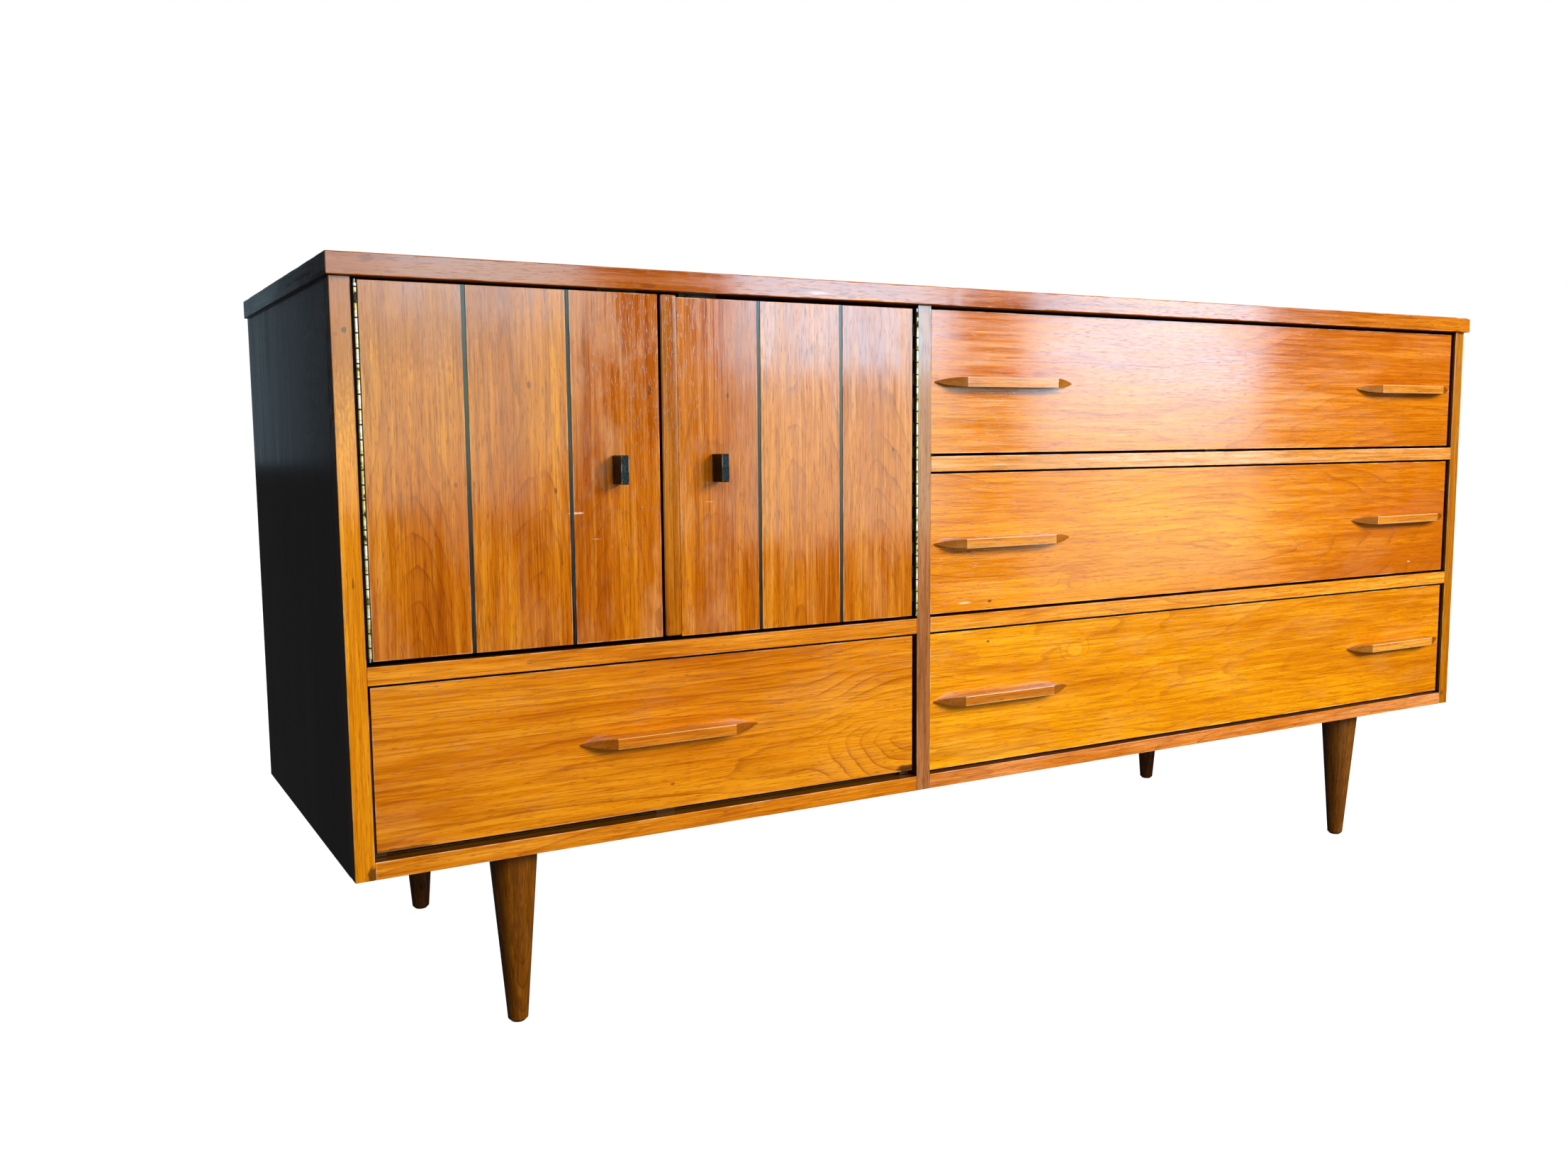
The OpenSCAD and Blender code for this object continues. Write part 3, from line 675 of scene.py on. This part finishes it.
def build_top_edging():
    """Three mitred strips round the top's front and ends, rubbed and chipped."""
    low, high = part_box("top_edging")
    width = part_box("top_panel")[0].x - low.x
    inner_y = low.y + width

    def mitre_front(point):
        share = (point.y - low.y) / width
        near_end = (abs(point.x) / high.x) ** 40
        point.x += math.copysign(share * width, -point.x) * near_end

    def mitre_left(point):
        if point.y < inner_y:
            point.y += (point.x - low.x) * (inner_y - point.y) / width

    def mitre_right(point):
        if point.y < inner_y:
            point.y += (high.x - point.x) * (inner_y - point.y) / width

    chips = (((high.x, low.y, high.z), (7 * MM, 9 * MM, 4 * MM), 2.5 * MM),
             ((high.x - 22 * MM, low.y, high.z), (7 * MM, 6 * MM, 3 * MM), 1.6 * MM),
             ((high.x - 30 * MM, low.y, low.z), (12 * MM, 6 * MM, 3 * MM), 1.2 * MM),
             ((low.x + 640 * MM, low.y, high.z), (5 * MM, 4 * MM, 2 * MM), 0.5 * MM),
             ((low.x + 470 * MM, low.y, high.z), (5 * MM, 4 * MM, 2 * MM), 0.4 * MM))
    strips = (("front", (low.x, low.y, low.z), (high.x, inner_y, high.z), "xzy", mitre_front),
              ("left", (low.x, low.y, low.z), (low.x + width, high.y, high.z), "yzx", mitre_left),
              ("right", (high.x - width, low.y, low.z), (high.x, high.y, high.z), "yzx", mitre_right))
    drifts = ((low.x + 300 * MM, low.x + 900 * MM, 0.06), None, None)
    scuffs = spots(low, high, True, (0.0, 0.5, 420, 60, RUDDY, 0.45), (0.0, 0.5, 220, 60, RUDDY, 0.4),
                   (0.022, 0.78, 8, 4, BROWN, 0.7), (0.19, 0.2, 9, 3, BROWN, 0.7),
                   (0.31, 0.3, 14, 2, PALE, 0.4), (0.55, 0.7, 9, 2, BROWN, 0.5))
    for seed, (side, start, end, axes, mitre) in enumerate(strips):
        data = worn_board(f"top_edging_{side}", start, end, axes, 0.9 * MM, 1.0 * MM, seed, chips, mitre)
        edges = [(start[AXES[a]], end[AXES[a]]) for a in axes[:2]]
        # The left strip takes the side panels' colour, darkened with painted shade.
        tone = PAINTED_SHADE_SIDE_TONE if side == "left" else EDGE_TONE
        look = wood(f"top_edging_{side}_wood", axes, tone, seed + 40, None, edges,
                    scuffs if side == "front" else (), dust=0.8, drift=drifts[seed])
        piece = even_normals(new_piece(f"top_edging_{side}", data, look, "case"))
        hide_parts("top_edging")


def studs(name, places, outward, profile, material):
    """Small turned heads that stand out from the given places on the case. profile lists their
    (radius, height) in millimetres."""
    build = bmesh.new()
    across = outward.orthogonal().normalized()
    along = outward.cross(across)
    sides = 16
    angles = [2 * math.pi * i / sides for i in range(sides)]
    around = [across * math.cos(angle) + along * math.sin(angle) for angle in angles]
    for place in places:
        rings = [[place + outward * height * MM + side * radius * MM for side in around]
                 for radius, height in profile]
        skin(build, rings)
    data = finished(name, build)
    return even_normals(new_piece(name, data, material, "case"))


def build_plate_screws():
    """Four screws in each leg plate, over the plate's own holes."""
    low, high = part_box("leg_plates")
    half_plate = 30 * MM
    hole_offset = 23.76 * MM
    near = half_plate - hole_offset
    far = half_plate + hole_offset
    across = (low.x + near, low.x + far, high.x - far, high.x - near)
    deep = (low.y + near, low.y + far, high.y - far, high.y - near)
    places = [Vector((x, y, low.z)) for x in across for y in deep]
    head = [(4.4, -0.5), (4.4, 0.3), (4.1, 0.9), (3.0, 1.6), (1.9, 1.9), (1.5, 1.8), (1.0, 0.7)]
    look = metal("screw_steel", (0.62, 0.60, 0.55), (0.22, 0.17, 0.12), 4, 0.6, 0.3)
    studs("leg_plate_screws", places, Vector((0, 0, -1)), head, look)


def build_back_nails():
    """A row of nails round the back panel."""
    low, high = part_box("back_panel")
    inset = 7 * MM
    columns = 11
    rows = 4
    places = []
    for i in range(columns):
        x = low.x + inset + (high.x - low.x - 2 * inset) * i / (columns - 1)
        places += [Vector((x, high.y, low.z + inset)), Vector((x, high.y, high.z - inset))]
    for i in range(1, rows):
        z = low.z + (high.z - low.z) * i / rows
        places += [Vector((low.x + inset, high.y, z)), Vector((high.x - inset, high.y, z))]
    head = [(2.6, -0.4), (2.6, 0.15), (2.2, 0.4), (1.2, 0.5)]
    look = metal("nail_steel", (0.30, 0.27, 0.24), (0.12, 0.06, 0.03), 5, 0.8, 0.4)
    studs("back_panel_nails", places, Vector((0, 1, 0)), head, look)


def dress_legs():
    for seed, node in enumerate(("leg_front_left", "leg_front_right", "leg_back_left", "leg_back_right")):
        figure = arches(node, "zxy", 0.5, -0.3, 0.9, 5 * MM, 5, 0.012, strength=0.55)
        # The front left leg keeps its own colour; the other legs take the copy darkened with painted
        # shade.
        tone = LEG_TONE if node == "leg_front_left" else PAINTED_SHADE_LEG_TONE
        look = wood(f"{node}_wood", "zxy", tone, seed + 80, figure, gloss=0.24)
        dress(node, look)


# Doors ----------------------------------------------------------------


def spots(low, high, flip, *marks):
    """Marks given as shares of a face, with half sizes in millimetres, for a shader whose first
    direction is z, or x where flip is set."""
    placed = []
    for share_x, share_z, half_x, half_z, colour, strength in marks:
        x = low.x + share_x * (high.x - low.x)
        z = low.z + share_z * (high.z - low.z)
        places = (x, z, half_x * MM, half_z * MM) if flip else (z, x, half_z * MM, half_x * MM)
        placed.append((*places, colour, strength))
    return placed


def door_marks(side, low, high):
    """Small knots, stains and scratches, and a dark line along the meeting strip's edge."""
    if side == "left":
        return spots(low, high, False, (0.15, 1.05, 120, 110, RUDDY, 0.5),
                     (0.099, 0.929, 8, 12, (0.52, 0.17, 0.03), 0.6), (0.536, 0.736, 2.2, 4, BROWN, 0.8),
                     (0.283, 0.465, 2, 3, BROWN, 0.7), (0.619, 0.442, 2, 3, DARK, 0.6),
                     (0.965, 0.726, 2, 6, DARK, 0.6), (0.689, 0.376, 9, 1.2, PALE, 0.7),
                     (0.99, 0.05, 6, 16, BROWN, 0.5), (0.76, 0.30, 5, 0.5, PALE, 0.3))
    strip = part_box("meeting_strip")[1].x
    share = (strip - low.x) / (high.x - low.x)
    return spots(low, high, False, (0.196, 0.716, 2, 3, DARK, 0.6), (0.911, 0.549, 2, 3, DARK, 0.6),
                 (share, 0.5, 1.0, 2000, (0.05, 0.008, 0.002), 0.95), (0.12, 0.40, 5, 0.5, PALE, 0.35))


def build_door(side, planks):
    """A core with three upright planks on its face, apart by the width of the dark inlays. planks
    gives the place, height and strength of each plank's figure, and how far pale cloudy patches,
    partly a dulled finish and partly a painted sheen, cover it."""
    node = f"door_{side}"
    low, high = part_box(node)
    inlay_low, inlay_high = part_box(f"inlays_{side}")
    middle = (low.x + high.x) / 2
    outer = (inlay_high.x - inlay_low.x) / 2
    inner = outer - INLAY_WIDTH
    limits = [low.x, middle - outer, middle - inner, middle + inner, middle + outer, high.x]
    core = worn_board(f"{node}_core", (low.x, low.y + INLAY_DEPTH, low.z), high, "zxy", 0.6 * MM)
    look = wood(f"{node}_core_wood", "zxy", DOOR_TONE, 90, gap_shade_axis="y")
    pieces = [even_normals(new_piece(f"{node}_core", core, look, f"{side}_door"))]
    for i, (across, reach, strength, bloom_and_sheen) in enumerate(planks):
        start = (limits[2 * i], low.y, low.z)
        end = (limits[2 * i + 1], low.y + INLAY_DEPTH, high.z)
        name = f"{node}_plank_{i + 1}"
        edges = [(low.z, high.z), (start[0], end[0])]
        data = worn_board(name, start, end, "zxy", 0.45 * MM, 0.3 * MM, i + 5)
        figure = {"middle": start[0] + across * (end[0] - start[0]),
                  "start": low.z - 50 * MM, "end": low.z + reach * (high.z - low.z),
                  "deep": 3 * MM, "shallow": 55 * MM, "gap": 8 * MM, "sway": 0.04,
                  "strength": strength}
        look = wood(f"{name}_wood", "zxy", DOOR_TONE, 91 + i + 10 * len(side), figure, edges,
                    door_marks(side, low, high), haze=0.06, gap_shade_axis="y", bloom_and_sheen=bloom_and_sheen)
        pieces.append(even_normals(new_piece(name, data, look, f"{side}_door")))
    for piece in pieces:
        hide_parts(node)
    dress(f"inlays_{side}", ebonised_strip(f"inlays_{side}_wood"))


def build_meeting_strip():
    low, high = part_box("meeting_strip")
    data = worn_board("door_meeting_strip", low, high, "zxy", 1.9 * MM, 0.5 * MM, 9)
    edges = face_edges("meeting_strip", "zxy")
    look = wood("door_meeting_strip_wood", "zxy", STRIP_TONE, 77, None, edges, gap_shade_axis="y")
    piece = even_normals(new_piece("door_meeting_strip", data, look, "right_door"))
    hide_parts("meeting_strip")


def build_knob(side, look):
    """A flat block with broken arrises and a sunk, textured panel on its front."""
    node = f"knob_{side}"
    low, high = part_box(node)
    build = bmesh.new()
    bmesh.ops.create_cube(build, size=1.0)
    size = high - low
    bmesh.ops.transform(build, matrix=Matrix.Diagonal((*size, 1.0)), verts=build.verts)
    bmesh.ops.translate(build, vec=(low + high) / 2, verts=build.verts)
    bmesh.ops.bevel(build, geom=build.edges, offset=0.9 * MM, segments=3, affect="EDGES", profile=0.6)
    front = min(build.faces, key=lambda face: face.calc_center_median().y)
    bmesh.ops.inset_region(build, faces=[front], thickness=0.5 * MM)
    bmesh.ops.translate(build, vec=(0, 0.35 * MM, 0), verts=front.verts)
    data = finished(f"{node}_block", build)
    piece = even_normals(new_piece(f"{node}_block", data, look, f"{side}_door"))
    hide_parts(node)


# Drawers --------------------------------------------------------------


def handle_mesh(name, centre, size, face_y):
    """A bar with a long flat front that slopes to a point at each end, with crisp arrises. centre
    is its (x, z), and it stands out from face_y."""
    length, proud, height = size
    front = 0.66 * length
    tip = 1.2 * MM
    slope = (proud - tip) / ((length - front) / 2)
    count = 60
    places = [-length / 2 + length * i / count for i in range(count + 1)]
    corners = [side * (front / 2 + shift * MM) for side in (-1, 1) for shift in (-0.45, 0.0, 0.45)]
    places = [x for x in places if min(abs(x - corner) for corner in corners) > 0.8 * MM] + corners
    rings = []
    for x in sorted(places):
        depth = min(proud, tip + (length / 2 - abs(x)) * slope)
        if abs(abs(x) - front / 2) < 0.1 * MM:
            depth -= 0.06 * MM
        beyond = max(0.0, 2 * abs(x) - front) / (length - front)
        half = 0.5 * MM + (height / 2 - 0.5 * MM) * (1 - beyond ** 2.2)
        radius = min(0.8 * MM, 0.4 * half, 0.3 * depth)
        section = rounded_section(half, depth / 2, [radius] * 4)
        ring = [Vector((centre[0] + x, face_y - depth / 2 + b, centre[1] + a)) for a, b in section]
        rings.append(ring)
    return from_rings(name, rings)


def build_handles():
    single_low, single_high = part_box("drawer_4_handle")
    length = single_high.x - single_low.x
    size = (length, single_high.y - single_low.y, single_high.z - single_low.z)
    for n in range(1, 5):
        node = "drawer_4_handle" if n == 4 else f"drawer_{n}_handles"
        low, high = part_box(node)
        z = (low.z + high.z) / 2
        places = [low.x + length / 2] if n == 4 else [low.x + length / 2, high.x - length / 2]
        for i, x in enumerate(places):
            name = f"drawer_{n}_pull_{i + 1}"
            data = handle_mesh(name, (x, z), size, high.y)
            tone = tinted(HANDLE_TONE, 0.92, 0.76, 0.4) if n == 4 else HANDLE_TONE
            look = wood(f"{name}_wood", "xzy", tone, 10 * n + i + 100, handle_highlight_and_shade=0.85)
            piece = even_normals(new_piece(name, data, look, f"drawer_{n}"))
            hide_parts(node)


def drawer_marks(n, low, high):
    """Stains, nicks and pale scratches on a drawer's front."""
    honey = (0.95, 0.50, 0.03)
    marks = {
        1: ((0.540, 0.775, 1.6, 1.6, DARK, 0.8), (0.30, 0.12, 22, 1, PALE, 0.3)),
        2: ((0.239, 0.209, 17, 12, (0.60, 0.15, 0.002), 0.4), (0.052, 0.062, 10, 1.3, PALE, 0.8),
            (0.092, 0.060, 3.6, 1.5, DARK, 0.8), (0.918, 0.099, 4, 1.4, PALE, 0.6)),
        3: ((0.090, 0.905, 2.6, 1.8, DARK, 0.8), (0.236, 0.767, 13, 8, honey, 0.28),
            (0.05, 0.80, 30, 9, (0.50, 0.10, 0.002), 0.35), (0.55, 0.0, 20, 1.5, DARK, 0.5)),
        4: ((0.985, 0.02, 14, 4.5, DARK, 0.9), (0.04, 0.005, 34, 2.2, DARK, 0.7),
            (0.09, 0.20, 24, 7, (0.42, 0.09, 0.002), 0.35), (0.50, 0.16, 3, 2, DARK, 0.5)),
    }
    return spots(low, high, True, *marks[n])


def dress_drawer_fronts():
    figures = {
        1: arches("drawer_1_front", "xzy", -0.1, 0.35, 1.05, 12 * MM, 8, 0.05, strength=0.55),
        2: arches("drawer_2_front", "xzy", 0.35, 1.1, 0.45, 11 * MM, 7, 0.06, strength=0.6),
        3: arches("drawer_3_front", "xzy", 0.45, 0.0, 1.0, 13 * MM, 6, 0.09, strength=0.5),
        4: arches("drawer_4_front", "xzy", 0.22, 0.76, 1.02, 9 * MM, 6, 0.02, strength=0.8),
    }
    eyes = {2: ((0.239, 0.209, 17, 12),), 3: ((0.236, 0.767, 11, 7), (0.09, 0.905, 8, 4))}
    drifts = {1: -0.04, 2: -0.08, 3: -0.04, 4: 0.1}
    tones = {1: UPPER_TONE, 2: DRAWER_TONE, 3: BRIGHT_TONE, 4: LOWER_TONE}
    for n in range(1, 5):
        node = f"drawer_{n}_front"
        low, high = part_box(node)
        swirls = [(*eye, None, 0) for eye in eyes.get(n, ())]
        figures[n]["eyes"] = [mark[:4] for mark in spots(low, high, True, *swirls)]
        edges = [(low.x, high.x), (low.z, high.z)]
        drift = ((low.x + high.x) / 2, high.x, drifts[n])
        marks = drawer_marks(n, low, high)
        look = wood(f"{node}_wood", "xzy", tones[n], n + 10, figures[n], edges, marks, drift=drift,
                    gap_shade_axis="y", bloom_and_sheen=0.03, dust=0.8)
        dress(node, look, 0.7 * MM)


# Stage ----------------------------------------------------------------


def build_camera():
    """The photo's viewing angle, found by fitting a camera to the chest's straight edges."""
    data = bpy.data.cameras.new("camera")
    data.sensor_width = 36.0
    data.lens = 30.638
    camera = bpy.data.objects.new("camera", data)
    bpy.context.scene.collection.objects.link(camera)
    right = Vector((0.86905, -0.49466, -0.00824))
    down = Vector((-0.06217, -0.09268, -0.99375))
    forward = Vector((0.49080, 0.86413, -0.11130))
    turn = Matrix((right, -down, -forward)).transposed()
    camera.matrix_world = Matrix.Translation((-0.9882, -1.3784, 0.5581)) @ turn.to_4x4()
    bpy.context.scene.camera = camera


def area_light(name, place, target, width, height, power, colour):
    data = bpy.data.lights.new(name, "AREA")
    data.shape = "RECTANGLE"
    data.size = width
    data.size_y = height
    data.energy = power
    data.color = colour
    lamp = bpy.data.objects.new(name, data)
    bpy.context.scene.collection.objects.link(lamp)
    lamp.location = place
    aim = Vector(target) - Vector(place)
    lamp.rotation_euler = aim.to_track_quat("-Z", "Y").to_euler()
    lamp.visible_camera = False
    return lamp


def spare_the_top(lamps):
    """Keeps lamps off the top panel, where they would show as hard white patches."""
    group = bpy.data.collections.new("no_glare_on_top")
    group.objects.link(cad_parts["top_panel"])
    for member in group.collection_objects:
        member.light_linking.link_state = "EXCLUDE"
    for lamp in lamps:
        lamp.light_linking.receiver_collection = group


def window(name, left, right, low, high, radiance, colour):
    """A soft upright window in front of the chest, seen only in reflections."""
    distance = 3.2
    place = ((left + right) / 2, -distance, (low + high) / 2)
    width = right - left
    height = high - low
    target = (place[0], 0.0, place[2])
    power = radiance * math.pi * width * height
    lamp = area_light(f"window {name}", place, target, width, height, power, colour)
    lamp.visible_diffuse = False
    return lamp


def soft_light(name, place, target, width, height, power):
    """A wide, slightly warm light that shows in no reflection."""
    lamp = area_light(name, place, target, width, height, power, (1.0, 0.98, 0.95))
    lamp.visible_glossy = False


def build_lights():
    """Windows in front, brighter to the right and above, and soft light from in front and behind."""
    pale = (0.80, 1.0, 0.80)
    blue = (0.36, 0.75, 1.0)
    windows = (("left low", -0.7, 0.45, 0.35, 0.5, 3.0, pale),
               ("left middle", -0.7, 0.6, 0.5, 0.95, 4.2, (0.65, 0.95, 0.70)),
               ("left high", -0.7, 0.0, 0.95, 2.1, 5.5, (0.40, 0.85, 1.0)),
               ("left bright", 0.0, 0.62, 0.95, 2.1, 9.5, (0.40, 0.85, 1.0)),
               ("middle low", 1.17, 2.12, 0.2, 0.8, 4.4, pale),
               ("middle high", 1.17, 2.12, 0.8, 2.2, 16.5, blue),
               ("right low", 2.5, 3.85, -0.1, 0.5, 2.6, pale),
               ("right middle", 2.5, 3.8, 0.5, 0.75, 8.5, (0.40, 0.78, 1.0)),
               ("right high", 2.5, 3.8, 0.75, 2.2, 15.5, blue))
    lamps = [window(*row) for row in windows]
    sheen = area_light("side sheen", (-4.0, 0.3, 0.9), (-0.8, 0.0, 0.5), 3.0, 2.0, 30, (0.75, 0.9, 1.0))
    sheen.visible_diffuse = False
    soft_light("key", (1.7, -3.0, 1.8), (0.1, -0.2, 0.4), 1.8, 1.1, 140)
    soft_light("fill", (-0.6, -2.4, 1.6), (-0.3, -0.2, 0.35), 1.3, 1.0, 22)
    soft_light("bounce", (-0.05, -1.3, 0.06), (-0.05, -0.2, 0.35), 2.2, 0.8, 5)
    back = area_light("back", (-0.4, 2.4, 1.05), (-0.4, 0.0, 1.05), 1.5, 1.1, 1.2, (0.55, 0.82, 1.0))
    soft_light("rear", (1.8, 3.0, 2.3), (0.0, 0.2, 0.4), 1.6, 1.6, 130)
    spare_the_top([*lamps, sheen, back])


def build_world():
    """A white background that lights the object only faintly."""
    world = bpy.data.worlds.new("studio")
    bpy.context.scene.world = world
    world.use_nodes = True
    nodes = world.node_tree.nodes
    links = world.node_tree.links
    nodes.clear()
    path = nodes.new("ShaderNodeLightPath")
    dim = nodes.new("ShaderNodeBackground")
    dim.inputs["Color"].default_value = (0.90, 0.92, 1.0, 1.0)
    dim.inputs["Strength"].default_value = 0.03
    white = nodes.new("ShaderNodeBackground")
    white.inputs["Color"].default_value = (1.0, 1.0, 1.0, 1.0)
    choose = nodes.new("ShaderNodeMixShader")
    output = nodes.new("ShaderNodeOutputWorld")
    links.new(path.outputs["Is Camera Ray"], choose.inputs[0])
    links.new(dim.outputs[0], choose.inputs[1])
    links.new(white.outputs[0], choose.inputs[2])
    links.new(choose.outputs[0], output.inputs[0])
    bpy.context.scene.view_settings.view_transform = "Standard"


def build_floor():
    half = 12.0
    data = bpy.data.meshes.new("floor")
    corners = [(-half, -half, 0), (half, -half, 0), (half, half, 0), (-half, half, 0)]
    data.from_pydata(corners, [], [(0, 1, 2, 3)])
    floor = bpy.data.objects.new("floor", data)
    bpy.context.scene.collection.objects.link(floor)
    shade = Shade("floor_white", Emission_Color=(1.0, 1.0, 1.0))
    point, _ = shade.here("xyz")
    mottle = shade.noise(point, (30, 30, 30), detail=3.0)
    away = distance_to(shade, point, (0, 0, 1, 1))
    shade.put(shade.shader.inputs["Emission Strength"], shade.span(away, 0.6, 2.2, 0.96, 1.0))
    colour = shade.ramp(mottle, (0.3, (0.30, 0.30, 0.30)), (0.7, (0.34, 0.34, 0.34)))
    data.materials.append(shade.finish(colour, 0.9))
    floor.visible_glossy = False
    floor.visible_diffuse = False


dress_case()
dress_inside()
dress_metal()
build_top_edging()
build_plate_screws()
build_back_nails()
dress_legs()
build_door("left", ((0.45, 0.75, 0.55, 0.05), (0.55, 0.7, 0.5, 0.06), (0.5, 0.8, 0.4, 0.18)))
build_door("right", ((0.5, 0.7, 0.45, 0.16), (0.5, 0.95, 0.6, 0.04), (0.6, 0.8, 0.5, 0.04)))
build_meeting_strip()
knob_look = black_lacquer("knob_lacquer", (420, 520, 520))
build_knob("left", knob_look)
build_knob("right", knob_look)
build_handles()
dress_drawer_fronts()
build_camera()
build_lights()
build_world()
build_floor()
